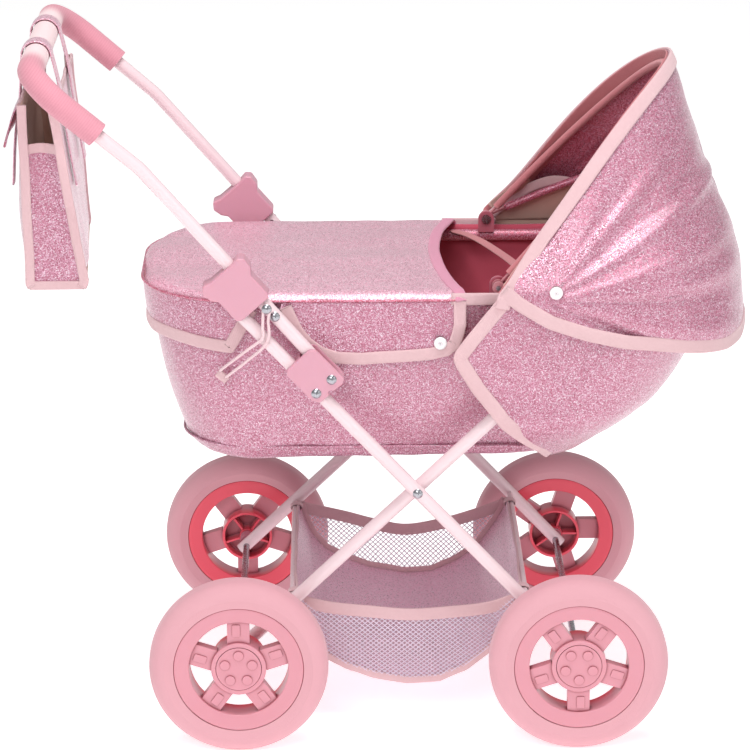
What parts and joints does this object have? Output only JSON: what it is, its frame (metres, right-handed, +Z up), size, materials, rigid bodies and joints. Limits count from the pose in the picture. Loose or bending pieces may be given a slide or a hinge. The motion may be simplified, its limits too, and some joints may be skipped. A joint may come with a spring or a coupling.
{
  "type": "doll stroller",
  "caption": "Folding doll pram with a soft bassinet, tilting hood, round tube X frame, swing handle, bag, basket and spoked wheels.",
  "frame": {"origin": "on the ground, midway between the two axles and between the wheels", "axes": "+X towards the hood end, +Y to the pram's left, +Z up"},
  "size_m": [0.6084, 0.362, 0.5841],
  "materials": {
    "painted_tube": "gloss, pale pink powder coat",
    "pink_plastic": "satin moulded, salmon pink",
    "wheel_plastic": "satin moulded, salmon pink",
    "tyre_foam": "smooth foam, salmon pink",
    "grip_foam": "soft foam sleeve",
    "bright_steel": "polished",
    "glitter_fabric": "woven with silver glitter, pink",
    "binding_tape": "ribbed woven tape, pale pink",
    "mesh_fabric": "open net, white",
    "lining_fabric": "plain weave, beige pink",
    "snap_plastic": "white press studs",
    "board": "stiffener board"
  },
  "bodies": {
    "front_frame": {"front_frame_tube_left": "painted_tube", "front_frame_tube_right": "painted_tube", "front_axle": "bright_steel", "front_axle_nuts": "bright_steel", "front_axle_spacers": "pink_plastic", "front_cross_rod": "painted_tube", "pivot_bracket_left": "pink_plastic", "pivot_bracket_right": "pink_plastic", "bracket_rivets": "bright_steel", "handle_pivot_rivets": "bright_steel", "scissor_rivets": "bright_steel", "basket_sling": "glitter_fabric", "basket_mesh_left": "mesh_fabric", "basket_mesh_right": "mesh_fabric"},
    "rear_frame": {"rear_frame_tube_left": "painted_tube", "rear_frame_tube_right": "painted_tube", "rear_axle": "bright_steel", "rear_axle_nuts": "bright_steel", "rear_axle_spacers": "pink_plastic", "rear_cross_rod": "painted_tube"},
    "handle": {"handle_tube": "painted_tube", "handle_grip": "grip_foam", "seat_pivot_rivets": "bright_steel", "loop_studs": "bright_steel", "elastic_loop_left": "binding_tape", "elastic_loop_right": "binding_tape"},
    "lock_left": {"lock_slider_left": "pink_plastic"},
    "lock_right": {"lock_slider_right": "pink_plastic"},
    "bassinet": {"rim_frame": "painted_tube", "bassinet_shell": "glitter_fabric", "bed_board": "board", "mattress_pad": "lining_fabric", "cover": "glitter_fabric", "cover_snaps": "snap_plastic", "front_wrap": "glitter_fabric", "hood_canopy": "glitter_fabric", "hood_lugs": "pink_plastic", "hood_pivot_pins": "bright_steel", "hood_snaps": "snap_plastic"},
    "hood_front": {"hood_front_bow": "painted_tube"},
    "hood_rear": {"hood_rear_bow": "painted_tube"},
    "bag": {"bag_body": "glitter_fabric", "bag_straps": "binding_tape"},
    "wheel_front_left": {"wheel_tyre_front_left": "tyre_foam", "wheel_hub_front_left": "wheel_plastic", "wheel_cap_front_left": "wheel_plastic"},
    "wheel_front_right": {"wheel_tyre_front_right": "tyre_foam", "wheel_hub_front_right": "wheel_plastic", "wheel_cap_front_right": "wheel_plastic"},
    "wheel_rear_left": {"wheel_tyre_rear_left": "tyre_foam", "wheel_hub_rear_left": "wheel_plastic", "wheel_cap_rear_left": "wheel_plastic"},
    "wheel_rear_right": {"wheel_tyre_rear_right": "tyre_foam", "wheel_hub_rear_right": "wheel_plastic", "wheel_cap_rear_right": "wheel_plastic"}
  },
  "joints": [
    {"name": "handle_fold", "type": "hinge", "parent": "front_frame", "child": "handle", "pos_m": [-0.063, 0, 0.319], "axis": [0, 1, 0], "range_deg": [0, 90], "deforming": ["elastic_loop_left", "elastic_loop_right"]},
    {"name": "scissor", "type": "hinge", "parent": "front_frame", "child": "rear_frame", "pos_m": [0.008, 0, 0.218], "axis": [0, 1, 0], "range_deg": [-2, 42]},
    {"name": "bassinet_pivot", "type": "hinge", "parent": "handle", "child": "bassinet", "pos_m": [-0.109, 0, 0.372], "axis": [0, 1, 0], "range_deg": [-62, 2]},
    {"name": "hood_fold", "type": "hinge", "parent": "bassinet", "child": "hood_front", "pos_m": [0.075, 0, 0.388], "axis": [0, 1, 0], "range_deg": [0, 32], "deforming": ["hood_canopy"]},
    {"name": "hood_rear_fold", "type": "hinge", "parent": "bassinet", "child": "hood_rear", "pos_m": [0.075, 0, 0.388], "axis": [0, 1, 0], "range_deg": [-1, 15]},
    {"name": "bag_swing", "type": "hinge", "parent": "handle", "child": "bag", "pos_m": [-0.305, 0, 0.571], "axis": [0, 1, 0], "range_deg": [-95, 35]},
    {"name": "lock_slide_left", "type": "slide", "parent": "handle", "child": "lock_left", "axis": [-0.6564, 0, 0.7544], "range_m": [0, 0.04]},
    {"name": "lock_slide_right", "type": "slide", "parent": "handle", "child": "lock_right", "axis": [-0.6564, 0, 0.7544], "range_m": [0, 0.04]},
    {"name": "wheel_spin_front_left", "type": "hinge", "parent": "front_frame", "child": "wheel_front_left", "pos_m": [0.14225, 0.164, 0.075], "axis": [0, 1, 0], "continuous": true},
    {"name": "wheel_spin_front_right", "type": "hinge", "parent": "front_frame", "child": "wheel_front_right", "pos_m": [0.14225, -0.164, 0.075], "axis": [0, 1, 0], "continuous": true},
    {"name": "wheel_spin_rear_left", "type": "hinge", "parent": "rear_frame", "child": "wheel_rear_left", "pos_m": [-0.14225, 0.164, 0.075], "axis": [0, 1, 0], "continuous": true},
    {"name": "wheel_spin_rear_right", "type": "hinge", "parent": "rear_frame", "child": "wheel_rear_right", "pos_m": [-0.14225, -0.164, 0.075], "axis": [0, 1, 0], "continuous": true}
  ],
  "couplings": [
    {"joint": "scissor", "follows": "handle_fold", "ratio": 0.44},
    {"joint": "bassinet_pivot", "follows": "handle_fold", "ratio": -0.66},
    {"joint": "hood_rear_fold", "follows": "hood_fold", "ratio": 0.44}
  ]
}
